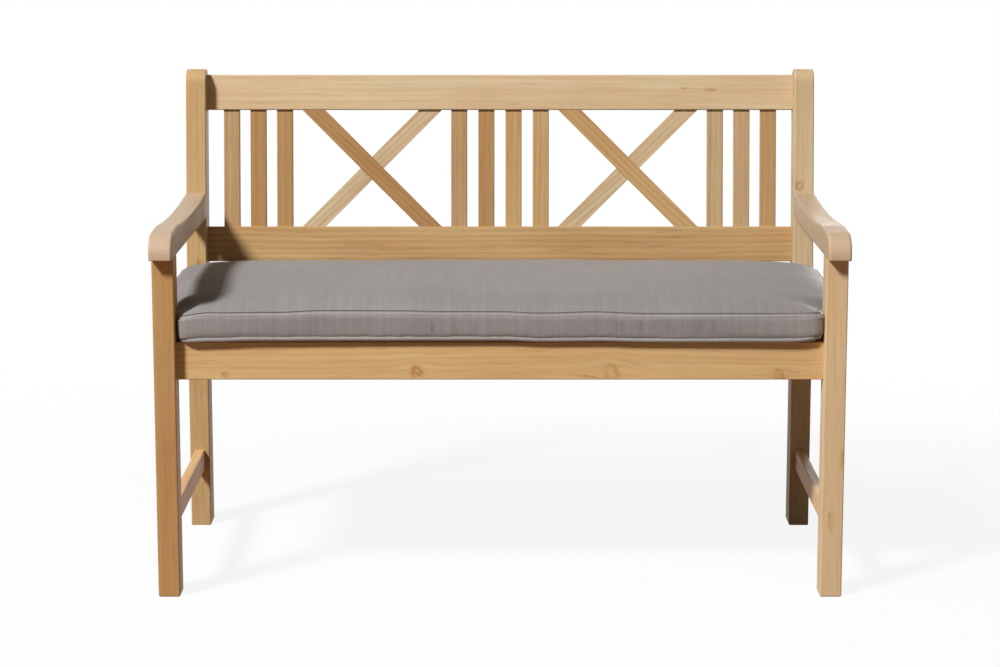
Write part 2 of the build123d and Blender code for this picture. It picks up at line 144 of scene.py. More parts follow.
def seen_directly(tree):
    """1 for rays that should meet the white backdrop: the camera's, reflections and glass."""
    path = tree.nodes.new("ShaderNodeLightPath")
    seen = maths(tree, "MAXIMUM", path.outputs["Is Camera Ray"], path.outputs["Is Glossy Ray"])
    return maths(tree, "MAXIMUM", seen, path.outputs["Is Transmission Ray"])


# Camera, backdrop, floor and lamps


def place_camera():
    data = bpy.data.cameras.new("camera")
    data.sensor_width = SENSOR_WIDTH
    data.lens = FOCAL_PIXELS / PHOTO_WIDTH * SENSOR_WIDTH
    data.clip_end = VIEW_END
    camera = bpy.data.objects.new("camera", data)
    front_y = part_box("front_leg_left")[0].y
    camera.location = (0, front_y - CAMERA_REACH, CAMERA_HEIGHT)
    camera.rotation_euler = (math.pi / 2 - CAMERA_TILT, 0, 0)
    scene.collection.objects.link(camera)
    scene.camera = camera


def hang_backdrop():
    world = bpy.data.worlds.new("white_backdrop")
    world.use_nodes = True
    tree = world.node_tree
    tree.nodes.clear()
    seen = seen_directly(tree)
    strength = ramp(tree, seen, 0, 1, SKY_LEVEL, 1)
    sky = node(tree, "ShaderNodeBackground", WHITE, strength)
    output = tree.nodes.new("ShaderNodeOutputWorld")
    tree.links.new(sky, output.inputs["Surface"])
    scene.world = world


def lay_floor():
    mesh = bpy.data.meshes.new("pale_floor")
    made = bmesh.new()
    bmesh.ops.create_grid(made, x_segments=1, y_segments=1, size=FLOOR_HALF)
    made.to_mesh(mesh)
    made.free()
    floor = bpy.data.objects.new("pale_floor", mesh)
    scene.collection.objects.link(floor)
    material, tree, output = new_tree("pale_floor")
    place = node(tree, "ShaderNodeTexCoord", out="Object")
    away = vector_maths(tree, "LENGTH", place, out="Value")
    far = ramp(tree, away, *FLOOR_CLEAR, FLOOR_VEIL, 1, smooth=True)
    seen = seen_directly(tree)
    fade = maths(tree, "MULTIPLY", far, seen)
    tone = (ramp(tree, seen, 0, 1, bounce, FLOOR_TONE) for bounce in FLOOR_BOUNCE)
    lit = node(tree, "ShaderNodeBsdfDiffuse", node(tree, "ShaderNodeCombineXYZ", *tone))
    white = node(tree, "ShaderNodeEmission", WHITE, 1)
    mixed = node(tree, "ShaderNodeMixShader", fade, lit, white)
    tree.links.new(mixed, output.inputs["Surface"])
    mesh.materials.append(material)


def hang_lamp(name, place, size, watts, tone):
    data = bpy.data.lights.new(name, "AREA")
    data.color = tone
    data.shape = "DISK"
    data.size = size
    data.energy = watts
    lamp = bpy.data.objects.new(name, data)
    lamp.location = place
    lamp.visible_camera = False
    lamp.rotation_euler = (LIGHT_AIM - place).to_track_quat("-Z", "Y").to_euler()
    scene.collection.objects.link(lamp)


place_camera()
hang_backdrop()
lay_floor()
hang_lamp("key_lamp", KEY_PLACE, KEY_SIZE, KEY_WATTS, KEY_TONE)
hang_lamp("fill_lamp", FILL_PLACE, FILL_SIZE, FILL_WATTS, FILL_TONE)
hang_lamp("rear_lamp", REAR_PLACE, REAR_SIZE, REAR_WATTS, KEY_TONE)
scene.view_settings.view_transform = "Standard"


# Wood

RAKE = math.radians(7.5)
ALONG_X, ALONG_Y, ALONG_Z = Vector((1, 0, 0)), Vector((0, 1, 0)), Vector((0, 0, 1))
UP_THE_BACK = Vector((0, math.sin(RAKE), math.cos(RAKE)))

# Tones of the sawn wood, as linear red, green and blue
TONES = {
    "cream": (0.604, 0.443, 0.255),
    "blush": (0.507, 0.371, 0.251),
    "fawn": (0.497, 0.355, 0.225),
    "straw": (0.647, 0.461, 0.255),
    "sand": (0.553, 0.407, 0.230),
    "glow": (0.731, 0.433, 0.193),
    "wheat": (0.487, 0.324, 0.163),
    "honey": (0.609, 0.391, 0.173),
    "maize": (0.497, 0.314, 0.139),
    "amber": (0.492, 0.297, 0.126),
    "tan": (0.436, 0.266, 0.120),
    "ginger": (0.452, 0.244, 0.091),
    "russet": (0.396, 0.214, 0.080),
    "peg": (0.304, 0.175, 0.086),
}
WARM = Vector((1.035, 0.975, 0.93))         # the orange and the olive side of a board's tone
OLIVE = Vector((0.965, 1.02, 1.05))
LEAN_SPAN = (0.38, 0.62)                    # where the one side turns into the other
BAND_SHARE, PATCH_SHARE = 0.65, 0.35        # what decides between them
MARK_TONE = Vector((0.70, 0.60, 0.50))      # short dark dashes, and how much they show
MARK_SPAN = (0.7, 0.78)
MARK_SHARES = (0.25, 0.4)                   # on plain wood, and what a full figure adds
RING_SHADES = (0.06, -0.12)                 # of a growth ring, in a full figure
ROUGHNESS = (0.46, 0.56)
GRAIN_BUMP = 0.35
FIBRE_RELIEF = 0.5
GLOSS = 0.2
NOISE_SPAN = (0.3, 0.7)                     # most of a noise lies between these
APART = (7, 3, 1)                           # takes each board's figure from a place of its own

# A knot, counted in its own size
KNOT_HEART = Vector((1.07, 1.02, 1.05))     # tones of its heart, its dark ring and its halo
KNOT_RING = Vector((0.64, 0.47, 0.35))
KNOT_HALO = Vector((0.92, 0.83, 0.72))
HEART_SHARE, RING_SHARE, HALO_SHARE = 0.6, 0.75, 0.6
HEART_EDGE, HALO_EDGE = (0.2, 1), (1, 2.6)
RING_AT, RING_HALF = 1.1, 0.8
BEND_REACH = (4.5, 2.6)                     # of the bent grain, along it and across
BEND = 0.8                                  # how far the grain parts
RAGGED = 0.8                                # how far its rims stray, and how fast they do
RAGGED_RATE = (0.3, 0.45, 0.2)
BROKEN_RATE = (0.3, 0.3, 0.3)               # how fast its ring comes and goes, and its limits
BROKEN_SPAN = (0.3, 0.55)

# How fast each part of the figure changes along the grain, across it and in depth, per metre
WANDER_RATE = Vector((2.0, 8, 8))
BAND_RATE = Vector((0.8, 75, 75))
STREAK_RATE = Vector((7, 230, 230))
FIBRE_RATE = Vector((40, 1000, 1000))
PATCH_RATE = Vector((4, 11, 11))
MARK_RATE = Vector((14, 300, 300))
WANDER = 9 * mm                             # how far the grain strays from a straight line
RING_SPACING = 11 * mm
WAVE_RATE = 20                              # radians a metre of a wave texture of scale 1
BUMP_DEPTH = 0.15 * mm
RING_DRAW = Vector((0.05, 1, 0.6))          # how the growth rings are drawn out along the grain
RING_BEND, RING_BEND_PACE = 9, 0.35
# How strongly each part of the figure shades the wood
BAND_SWING = STREAK_SWING = PATCH_SWING = 0.05
FIBRE_SWING = 0.03
PLAIN_SWING = 0.7                           # share of it in wood with no figure


def figured(tree, at, rate, detail=1, rough=0.5, out=0):
    """Noise drawn out along the grain."""
    stretched = vector_maths(tree, "MULTIPLY", at, rate)
    return node(tree, "ShaderNodeTexNoise", stretched, out=out, named={
        "Scale": 1, "Detail": detail, "Roughness": rough})


def tinted(tree, colour, share, tint, tone):
    """Mixes a share of the board's tone, tinted, into a colour."""
    shade = (*(a * b for a, b in zip(tone, tint)), 1)
    return node(tree, "ShaderNodeMix", data_type="RGBA", out=2,
                named={0: share, 6: colour, 7: shade})


def knotted(tree, board, along, across, size, long=1.2):
    """Leads the grain round a knot. Gives the bent place and the knot's heart, ring and halo."""
    centre = Vector((along, across, 0)) * mm
    off = vector_maths(tree, "SUBTRACT", board, centre)
    reach_along, reach_across = BEND_REACH
    near = Vector((1 / reach_along, 1 / reach_across, 0)) / (size * mm)
    near = vector_maths(tree, "MULTIPLY", off, near)
    near = vector_maths(tree, "DOT_PRODUCT", near, near, out="Value")
    near = maths(tree, "EXPONENT", maths(tree, "MULTIPLY", near, -1))
    spread = maths(tree, "SUBTRACT", 1, maths(tree, "MULTIPLY", near, BEND))
    spread = node(tree, "ShaderNodeCombineXYZ", 1, spread, 1)
    bent = vector_maths(tree, "ADD", vector_maths(tree, "MULTIPLY", off, spread), centre)
    ragged, broken = (
        figured(tree, board, Vector((rate_along / max(long, 1), *rates)) / (size * mm), detail)
        for (rate_along, *rates), detail in ((RAGGED_RATE, 2), (BROKEN_RATE, 0)))
    away = vector_maths(tree, "MULTIPLY", off, Vector((1 / long, 1, 0)) / (size * mm))
    away = vector_maths(tree, "LENGTH", away, out="Value")
    away = maths(tree, "ADD", away, ramp(tree, ragged, *NOISE_SPAN, -RAGGED, RAGGED))
    heart = ramp(tree, away, *HEART_EDGE, 1, 0, smooth=True)
    halo = ramp(tree, away, *HALO_EDGE, 1, 0, smooth=True)
    edge = maths(tree, "ABSOLUTE", maths(tree, "SUBTRACT", away, RING_AT))
    ring = ramp(tree, edge, 0, RING_HALF, 1, 0, smooth=True)
    ring = maths(tree, "MULTIPLY", ring, ramp(tree, broken, *BROKEN_SPAN))
    return bent, heart, ring, halo


def wood(name, tone, grain, side, middle, knots=(), figure=0.3):
    """Solid wood, sanded and pale. grain and side are the board's directions. Each knot has
    its place along and across the board from its middle, its size, how dark it is, and
    perhaps how long it is."""
    material, tree, output = new_tree(name)
    place = node(tree, "ShaderNodeTexCoord", out="Object")
    turn = Matrix((grain, side, grain.cross(side)))
    board = node(tree, "ShaderNodeMapping", place, -(turn @ middle), turn.to_euler())
    hearts = []
    for along, across, size, dark, *long in knots:
        board, *marks = knotted(tree, board, along, across, size, *long)
        hearts.append((*marks, dark))
    away = Vector([sum(middle) * far for far in APART])
    board = vector_maths(tree, "ADD", board, away)
    stray = vector_maths(tree, "SUBTRACT", figured(tree, board, WANDER_RATE, 1, out="Color"),
                         Vector((0.5, 0.5, 0.5)))
    stray = vector_maths(tree, "MULTIPLY", stray, Vector((0, WANDER, WANDER)) * 2)
    board = vector_maths(tree, "ADD", board, stray)

    drawn = vector_maths(tree, "MULTIPLY", board, RING_DRAW)
    rings = node(tree, "ShaderNodeTexWave", drawn, out="Fac", wave_type="BANDS",
                 bands_direction="Y", wave_profile="SIN", named={
                     "Scale": 2 * math.pi / WAVE_RATE / RING_SPACING,
                     "Distortion": RING_BEND, "Detail": 2, "Detail Scale": RING_BEND_PACE})
    bands = figured(tree, board, BAND_RATE, 2)
    streaks = figured(tree, board, STREAK_RATE, 2)
    fibres = figured(tree, board, FIBRE_RATE, 2, 0.6)
    patches = figured(tree, board, PATCH_RATE, 2)
    marks = ramp(tree, figured(tree, board, MARK_RATE, 0), *MARK_SPAN)

    tone = Vector(TONES[tone])
    lean = maths(tree, "ADD", maths(tree, "MULTIPLY", bands, BAND_SHARE),
                 maths(tree, "MULTIPLY", patches, PATCH_SHARE))
    tints = [(ramp(tree, lean, *LEAN_SPAN), 1, WARM),
             (marks, MARK_SHARES[0] + MARK_SHARES[1] * figure, MARK_TONE)]
    for heart, ring, halo, dark in hearts:
        tints += [(halo, HALO_SHARE, KNOT_HALO), (ring, RING_SHARE, KNOT_RING),
                  (heart, HEART_SHARE, KNOT_HEART.lerp(KNOT_RING, dark))]
    colour = (*(a * b for a, b in zip(tone, OLIVE)), 1)
    for part, share, tint in tints:
        colour = tinted(tree, colour, maths(tree, "MULTIPLY", part, share), tint, tone)
    shade = ramp(tree, rings, 0, 1, *(1 + figure * swing for swing in RING_SHADES))
    for part, swing in ((bands, BAND_SWING), (streaks, STREAK_SWING), (fibres, FIBRE_SWING),
                        (patches, PATCH_SWING)):
        swing *= PLAIN_SWING + figure
        part = ramp(tree, part, *NOISE_SPAN, 1 + swing, 1 - swing)
        shade = maths(tree, "MULTIPLY", shade, part)
    colour = vector_maths(tree, "SCALE", colour)
    tree.links.new(shade, colour.node.inputs["Scale"])
    height = maths(tree, "SUBTRACT", maths(tree, "MULTIPLY", fibres, FIBRE_RELIEF), marks)
    roughness = ramp(tree, streaks, *NOISE_SPAN, *ROUGHNESS)
    surface(tree, output, colour, roughness, height, (GRAIN_BUMP, BUMP_DEPTH), specular=GLOSS)
    return material


def middle_of(name):
    low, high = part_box(name)
    return (low + high) / 2


def board_wood(name, tone, grain, side, knots=(), figure=0.3):
    """Gives a CAD board a wood of its own."""
    made = wood(f"wood_{name}", tone, grain, side, middle_of(name), knots, figure)
    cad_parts[name].material_slots[0].material = made


board_wood("front_leg_left", "ginger", ALONG_Z, ALONG_X)
board_wood("front_leg_right", "straw", ALONG_Z, ALONG_X,
           ((-62, 15, 2, 0.8, 6), (-175, -4, 2, 0.7, 5)))
board_wood("back_leg_left", "maize", UP_THE_BACK, ALONG_X, ((55, 8, 4, 0.6, 3),))
board_wood("back_leg_right", "sand", UP_THE_BACK, ALONG_X, ((218, -8, 5, 0.5),))
for side, tone in (("left", "blush"), ("right", "fawn")):
    board_wood(f"arm_{side}", tone, ALONG_Y, ALONG_Z, figure=0)
    board_wood(f"side_stretcher_{side}", "glow", ALONG_Y, ALONG_Z)
board_wood("front_seat_rail", "honey", ALONG_X, ALONG_Z, (
    (193, -19, 10, 0, 0.75), (147, -25, 0.8, 1, 26), (-143, -18, 7, 0), (-478, -25, 3.5, 0.7),
    (485, -24, 5, 0.5)))
board_wood("top_back_rail", "cream", ALONG_X, ALONG_Z,
           ((359, 9, 1.5, 0.8, 5), (403, 6, 1.5, 0.8, 5)))
board_wood("lower_back_rail", "amber", ALONG_X, ALONG_Z, figure=0.7)
for index, tone in enumerate(("tan", "russet", "russet", "tan", "russet",
                              "amber", "amber", "wheat", "wheat", "tan"), 1):
    knots = {1: ((-165, -5, 3, 0),), 10: ((-200, 6, 3, 0.8),)}.get(index, ())
    board_wood(f"back_slat_{index:02d}", tone, UP_THE_BACK, ALONG_X, knots, figure=0.6)
for kind, fall, tones in (("falling", -1, ("russet", "amber")), ("rising", 1, ("sand", "sand"))):
    for side, tone in zip(("left", "right"), tones):
        low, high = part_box(f"{kind}_brace_{side}")
        run = ALONG_X * (high.x - low.x) + UP_THE_BACK * fall * (high.z - low.z) / math.cos(RAKE)
        run.normalize()
        board_wood(f"{kind}_brace_{side}", tone, run, ALONG_X.cross(UP_THE_BACK).cross(run),
                   figure=0.7)

seat_wood = wood("wood_seat_boards", "amber", ALONG_X, ALONG_Y, Vector((0.4, 0, 0.1)))
hidden_wood = wood("wood_hidden_rails", "tan", ALONG_Y, ALONG_Z, Vector((0.1, 0.2, 0.3)))
peg_wood = wood("wood_pegs", "peg", ALONG_X, ALONG_Z, Vector((0.2, 0.1, 0.1)), figure=0)
board_wood("rear_seat_rail", "tan", ALONG_X, ALONG_Z)
for name, made in {**{f"seat_board_{index}": seat_wood for index in range(1, 8)},
                   "side_seat_rail_left": hidden_wood, "side_seat_rail_right": hidden_wood,
                   "seat_centre_bearer": hidden_wood, "tenon_pegs": peg_wood}.items():
    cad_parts[name].material_slots[0].material = made


STEEL_TONE = (0.60, 0.59, 0.57, 1)
STEEL_RATE = Vector((3000, 400, 400))
STEEL_ROUGHNESS = (0.28, 0.42)
STEEL_BUMP = (0.2, 0.05 * mm)


def screw_steel():
    """Stainless steel with the fine turned lines of a screw head."""
    material, tree, output = new_tree("screw_steel")
    place = node(tree, "ShaderNodeTexCoord", out="Object")
    lines = figured(tree, place, STEEL_RATE, 1)
    roughness = ramp(tree, lines, *NOISE_SPAN, *STEEL_ROUGHNESS)
    shader = surface(tree, output, STEEL_TONE, roughness, lines, STEEL_BUMP)
    shader.inputs["Metallic"].default_value = 1
    return material


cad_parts["seat_screws"].material_slots[0].material = screw_steel()


# Cushion: a crowned cover between two piped seams

CORD_RADIUS = 4.2 * mm
CORD_FACETS = 4                 # gives the cord 12 sides
CORD_STAND = 0.8 * mm           # how far the cord's middle stands out of the seam line
END_REACH = 2 * mm              # the seam line at the ends, past the middle of the CAD's cord
SIDE_SHORT = 1.5 * mm           # and at the front and the back, short of it
LEG_GAP = 6.2 * mm              # from the seam to each front leg, which squeezes it
PUSHED = 1 * mm                 # it lies a little nearer to the right leg
SQUEEZE_END = 5 * mm            # behind the front legs, where it starts to spread again
SPREAD_RUN = 52 * mm
BACK_ROUND = 44 * mm
FRONT_ROUNDS = {"lower": 26 * mm, "upper": 17 * mm, "boxing": 12 * mm}
DRAW_IN = 4 * mm                # how far the long sides pull in between their corners
SEAM_SUNK = 2.5 * mm            # the seam lies that deep between the panels it joins
LIP = 10.2 * mm                 # the top panel's edge, which rolls out over the cord
LIP_RUN, LIP_END = 4.2 * mm, 30 * mm
LIP_SHARES = (1, 0.5, 0.45)     # of it along the front, at the back and at the ends
# The boxing's rows from the lower seam up: share of its height, and how far out of the seam
BOXING_SWELL = 7.5 * mm
BOXING_ROWS = ((0, -2.5), (0.06, 3), (0.13, 4.3), (0.28, 4.9), (0.44, 5.1), (0.6, 5.2),
               (0.76, 5.3), (0.88, 5.5), (0.96, 5.9), (0.99, 6), (1, -2.5))
BACK_RISE = 5 * mm              # the upper seam's, from the front legs to the back
DOME = 25 * mm                  # the top panel's rise from its lip to the middle
DOME_RUN, END_RUN = 50 * mm, 80 * mm
LIP_RISE = 4.7 * mm
FOOT_RUN = 9 * mm
HOLLOW = 4 * mm                 # where each front leg digs in
ROWS_ACROSS, ROWS_DEEP = 150, 72
CROWDING = 0.22                 # spacing of the rows at the rim, against the even one
CROWD_RUN = 0.08
END_BAND = 60 * mm              # where the long sides' lip turns into that of the ends
CREST_SHARE = 0.35              # of what the dome lacks, added away from the nearest rim
LIP_FOOT = 2 * mm               # the lip's rise over the seam, at the seam
LIP_RISE_RUN = 2.2 * mm
LIP_POWER = 2.2
# Behind the front leg's face: where the hollow starts, is full, starts to fade and ends
HOLLOW_SPAN = (15 * mm, 40 * mm, 70 * mm, 130 * mm)
HOLLOW_EDGE = (2 * mm, 10 * mm)
HOLLOW_WIDTH = 22 * mm
DENTS = 1.2 * mm                # soft unevenness of the top, and the rates of its two noises
DENT_PACES = (6, 17)
DENT_EDGE = 30 * mm
SEAM_DRIFT, DRIFT_PACE = 0.6 * mm, 14
DIP_WIDTH = 20 * mm
WAVE_END = (60 * mm, 250 * mm)  # behind the front, where the seams' waves fade
SEWN_RIM = 7 * mm               # the top panel's rim, which the filling leaves in place
AT_SEAM = 0.01 * mm             # a point this near to the rim is on the seam

# Filling: the pressure, how much the cloth shrinks, the steps, and how far a point may move
PRESSURE = 4
SHRINK = -0.006
STEPS = 20
SWELL_CAP = 1 * mm
LEG_CLEAR = 0.5 * mm            # what stays between the filled cover and a front leg

# Heights of the seams along the front, against their mean, in millimetres
UPPER_WAVE = ((-540, -4), (-500, -2.2), (-390, -1.7), (-300, 1), (-180, 0.6), (-100, -0.8),
              (0, -1), (75, -3.6), (150, -1.6), (260, -4.2), (450, -3.8), (557, -2.6))
LOWER_WAVE = ((-540, -2), (-490, -1), (-440, 0.8), (0, 1), (80, -1.5), (150, -0.8),
              (260, -2), (500, -1.6), (557, 1.5))
CORNER_DIPS = {"upper": (-5 * mm, 0), "lower": (-1 * mm, 2 * mm)}

cord_low, cord_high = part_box("cushion_upper_piping")
foot_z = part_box("cushion_cover")[0].z
seam_z = {level: middle_of(f"cushion_{level}_piping").z for level in ("upper", "lower")}
side_x = cord_high.x - CORD_RADIUS + END_REACH
half_deep = (cord_high.y - cord_low.y) / 2 - CORD_RADIUS - SIDE_SHORT
middle_y = (cord_high.y + cord_low.y) / 2
front_leg_low, front_leg_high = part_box("front_leg_right")
squeezed_x = front_leg_low.x - LEG_GAP
squeeze_end = front_leg_high.y + SQUEEZE_END


def eased(value, low=0, high=1):
    """0 below a span, 1 above it and a smooth rise between."""
    share = min(max((value - low) / (high - low), 0), 1)
    return share * share * (3 - 2 * share)


def wave(table, x):
    """Reads a table of heights along the bench, with smooth steps between its rows."""
    for (x_0, z_0), (x_1, z_1) in zip(table, table[1:]):
        if x <= x_1 * mm:
            return (z_0 + (z_1 - z_0) * eased(x, x_0 * mm, x_1 * mm)) * mm
    return table[-1][1] * mm


def seam_height(level, point):
    """Height of a seam, which wanders along the front and dips at the front corners."""
    behind = point.y - (middle_y - half_deep)
    table = UPPER_WAVE if level == "upper" else LOWER_WAVE
    back = eased(behind, *WAVE_END)
    height = seam_z[level] + wave(table, point.x) * (1 - back)
    if level == "upper":
        height += BACK_RISE * back
    corner = math.hypot(abs(point.x) - squeezed_x, behind)
    dip = CORNER_DIPS[level][point.x > 0] * math.exp(-(corner / DIP_WIDTH) ** 2)
    return height + dip + SEAM_DRIFT * noise.noise(point * DRIFT_PACE)


def crowd(share, half):
    """Spaces even rows more closely towards the rim: gives a row's gap to the rim."""
    gap = 1 - abs(share)
    run = CROWD_RUN * (1 - math.exp(-1 / CROWD_RUN))
    even = (1 - CROWDING * run) / (1 - run)
    gap = even * gap - (even - CROWDING) * CROWD_RUN * (1 - math.exp(-gap / CROWD_RUN))
    return half * gap


def lip(gap):
    """How far the top panel's edge rolls out, at a gap from the rim."""
    rolled = LIP * (1 - math.exp(-(gap / LIP_RUN) ** LIP_POWER)) - SEAM_SUNK
    return rolled * math.exp(-(gap / LIP_END) ** 2)


def on_plan(u, v, radius, shift=None):
    """A point of the cushion's plan from its place in a square, and its gap to the rim.
    shift moves it outwards by a function of the gap, or by a fixed length at the rim."""
    end_gap, side_gap = crowd(u, side_x), crowd(v, half_deep)
    if callable(shift):
        at_side = LIP_SHARES[v > 0]
        share = at_side + (LIP_SHARES[2] - at_side) * eased(side_gap, 0, END_BAND)
        end_gap -= shift(end_gap) * share
        side_gap -= shift(side_gap) * at_side
    reach = shift if shift and not callable(shift) else 0
    radius = BACK_ROUND if v > 0 else radius
    x, y = side_x - end_gap, half_deep - side_gap
    if max(end_gap, side_gap) < radius:
        arm = Vector((radius - end_gap, radius - side_gap))
        if arm.length:
            arm *= (max(arm) + reach) / arm.length
        x, y = side_x - radius + arm.x, half_deep - radius + arm.y
    elif reach and end_gap < side_gap:
        x += reach
    elif reach:
        y += reach
    x, y = math.copysign(x, u), math.copysign(y, v)
    depth = y / half_deep
    y = y - DRAW_IN * depth * (1 - (x / side_x) ** 2) + middle_y
    x -= math.copysign(DRAW_IN / 2 * (1 - depth ** 2), u) * abs(x / side_x)
    spread = eased(y, squeeze_end, squeeze_end + SPREAD_RUN)
    x *= (squeezed_x + (side_x - squeezed_x) * spread) / side_x
    x += PUSHED * (1 - spread)
    return Vector((x, y, 0)), end_gap, side_gap


def cover_top(point, gap, end_gap, side_gap):
    """Lifts a point of the plan onto the domed top panel."""
    rise = (1 - math.exp(-max(end_gap, 0) / END_RUN)) * (1 - math.exp(-max(side_gap, 0) / DOME_RUN))
    rise *= DOME
    inset = min(end_gap, side_gap)
    rise += CREST_SHARE * DOME * (1 - math.exp(-max(inset, 0) / DOME_RUN)) * (1 - rise / DOME)
    along = point.y - front_leg_low.y
    hollow = HOLLOW * eased(along, *HOLLOW_SPAN[:2]) * (1 - eased(along, *HOLLOW_SPAN[2:]))
    rise -= hollow * eased(gap, *HOLLOW_EDGE) * math.exp(-(end_gap / HOLLOW_WIDTH) ** 2)
    wide, close = (noise.noise(point * pace) for pace in DENT_PACES)
    rise += DENTS * eased(gap, 0, DENT_EDGE) * (wide + close / 2)
    edge = LIP_FOOT + LIP_RISE * (1 - math.exp(-gap / LIP_RISE_RUN))
    return seam_height("upper", point) + edge + rise


def cover_foot(point, gap):
    """Sets a point of the plan on the flat bottom panel."""
    seam = seam_height("lower", point)
    return seam + (foot_z - seam) * eased(gap, -FOOT_RUN / 2, FOOT_RUN)


def cover_boxing(u, v, w):
    """A point of the boxing, which swells out between the two seams."""
    share, out = BOXING_ROWS[round(w * (len(BOXING_ROWS) - 1))]
    at_seam = FRONT_ROUNDS["upper" if w > 0.5 else "lower"]
    swollen = min(max((out * mm + SEAM_SUNK) / BOXING_SWELL, 0), 1)
    radius = at_seam + (FRONT_ROUNDS["boxing"] - at_seam) * swollen
    point, *_ = on_plan(u, v, radius, out * mm)
    top, bottom = (seam_height(level, point) for level in ("upper", "lower"))
    point.z = bottom + (top - bottom) * share
    return point


def cut_cover():
    """The cover before it is filled: two panels and the boxing between them."""
    made = bmesh.new()
    for height in (1, 0):
        panel = bmesh.ops.create_grid(made, x_segments=ROWS_ACROSS, y_segments=ROWS_DEEP, size=1)
        bmesh.ops.translate(made, verts=panel["verts"], vec=(0, 0, height))
    rims = [edge for edge in made.edges if edge.is_boundary]
    boxing = bmesh.ops.bridge_loops(made, edges=rims)["edges"]
    bmesh.ops.subdivide_edges(made, edges=boxing, cuts=len(BOXING_ROWS) - 2)
    sewn = made.verts.layers.deform.verify()
    for vert in made.verts:
        u, v, w = vert.co
        gap = min(crowd(u, side_x), crowd(v, half_deep))
        if w == 1:
            point, end_gap, side_gap = on_plan(u, v, FRONT_ROUNDS["upper"], lip)
            point.z = cover_top(point, gap, end_gap, side_gap)
        elif w == 0:
            sunk = -SEAM_SUNK if gap < AT_SEAM else None
            point, *_ = on_plan(u, v, FRONT_ROUNDS["lower"], sunk)
            point.z = cover_foot(point, gap)
        else:
            point = cover_boxing(u, v, w)
        vert.co = point
        vert[sewn][0] = 1.0 if w == 0 or w == 1 and gap < SEWN_RIM else 0.0
    bmesh.ops.recalc_face_normals(made, faces=made.faces[:])
    mesh = bpy.data.meshes.new("cover")
    made.to_mesh(mesh)
    made.free()
    mesh.shade_smooth()
    return mesh


def fill_cover(cover):
    """Blows the cover up from inside with its seams held, as its foam does."""
    group = cover.vertex_groups.new(name="sewn")
    filling = cover.modifiers.new("filling", "CLOTH")
    filling.settings.vertex_group_mass = group.name
    filling.settings.use_pressure = True
    filling.settings.uniform_pressure_force = PRESSURE
    filling.settings.shrink_min = SHRINK
    filling.settings.effector_weights.gravity = 0
    filling.point_cache.frame_end = STEPS
    for step in range(1, STEPS + 1):
        scene.frame_set(step)
    filled = cover.evaluated_get(bpy.context.evaluated_depsgraph_get()).data
    places = [vert.co.copy() for vert in filled.vertices]
    cover.modifiers.remove(filling)
    cover.vertex_groups.clear()
    scene.frame_set(1)
    for vert, place in zip(cover.data.vertices, places):
        swell = place - vert.co
        if swell.length > SWELL_CAP:
            swell *= SWELL_CAP / swell.length
        vert.co += swell
        vert.co.z = max(vert.co.z, foot_z)
        if vert.co.y < front_leg_high.y + LEG_CLEAR:
            wall = front_leg_low.x - LEG_CLEAR
            vert.co.x = min(max(vert.co.x, -wall), wall)


def rim_loop(level):
    """Once round the cushion along a seam, from the front left corner."""
    across = [2 * step / ROWS_ACROSS - 1 for step in range(ROWS_ACROSS)]
    deep = [2 * step / ROWS_DEEP - 1 for step in range(ROWS_DEEP)]
    loop = [(u, -1) for u in across] + [(1, v) for v in deep]
    loop += [(-u, 1) for u in across] + [(-1, -v) for v in deep]
    return [on_plan(u, v, FRONT_ROUNDS[level], CORD_STAND)[0] for u, v in loop]


def sew_cord(level):
    """Piping: a cord in its own strip of cloth, along a seam."""
    rim = rim_loop(level)
    curve = bpy.data.curves.new(f"{level}_piping_cord", "CURVE")
    curve.dimensions = "3D"
    curve.bevel_depth = CORD_RADIUS
    curve.bevel_resolution = CORD_FACETS
    spline = curve.splines.new("POLY")
    spline.points.add(len(rim) - 1)
    spline.use_cyclic_u = True
    for bead, point in zip(spline.points, rim):
        bead.co = (point.x, point.y, seam_height(level, point), 1)
    shaper = bpy.data.objects.new("shaper", curve)
    scene.collection.objects.link(shaper)
    mesh = bpy.data.meshes.new_from_object(shaper)
    bpy.data.objects.remove(shaper)
    mesh.shade_smooth()
    cord = bpy.data.objects.new(f"{level}_piping_cord", mesh)
    scene.collection.objects.link(cord)
    return cord


# Small folds across the boxing, drawn only as painted shade: place along the bench, half width and
# how dark
CREASE_SHADOWS = ((-117, 3, 1), (-81, 3, 0.5), (-44, 3, 1), (200, 3, 0.6), (211, 3, 0.4),
           (245, 3, 1), (290, 4, 0.4), (345, 7, 0.4), (368, 6, 0.4), (462, 4, 0.6))
CREASE_SPAN = 1200              # millimetres of the bench that the table of creases covers
CREASE_SHADE = 0.34
CREASE_INSET = 8 * mm           # the creases stop that short of the seams
END_SHADE_SPAN = (0.28, 0.56)          # from where to where along the bench the top panel is painted darker
END_SHADE = 0.2                      # and by how much: painted shade, not a tone of the cloth

# Cloth: the ribs, and how strongly each part of the weave shades it
RIB = 3.9 * mm
RIB_SHADE = 0.10
PICK_RATE, PICK_SHADES = Vector((500, 900, 900)), (0.9, 1.1)
SLUB_RATE, SLUB_SHADES = Vector((160, 6, 6)), (0.94, 1.07)
CLOUD_RATE, CLOUD_SHADES = 7, (0.96, 1.04)
WARP_RATE, WARP_SHADE = 290, 0.09
ON_END = (0.6, 0.75)            # how far a face turns to the side, and its ribs run upright
UPRIGHT = (0.3, 0.7, 1, 0.3)    # a face's lean, and how much its warps and its painted fold shade show
ON_TOP = (0.5, 0.8)
RIB_BUMP, PICK_BUMP = 0.6, 0.5
CLOTH_ROUGHNESS = 0.85
CLOTH_BUMP = (0.6, 0.25 * mm)
CLOTH_SHEEN = (0.9, 0.4, (0.8, 0.78, 0.75, 1))
CLOTH_TONES = {"grey_cloth": (0.268, 0.243, 0.229), "piping_cloth": (0.31, 0.28, 0.26)}


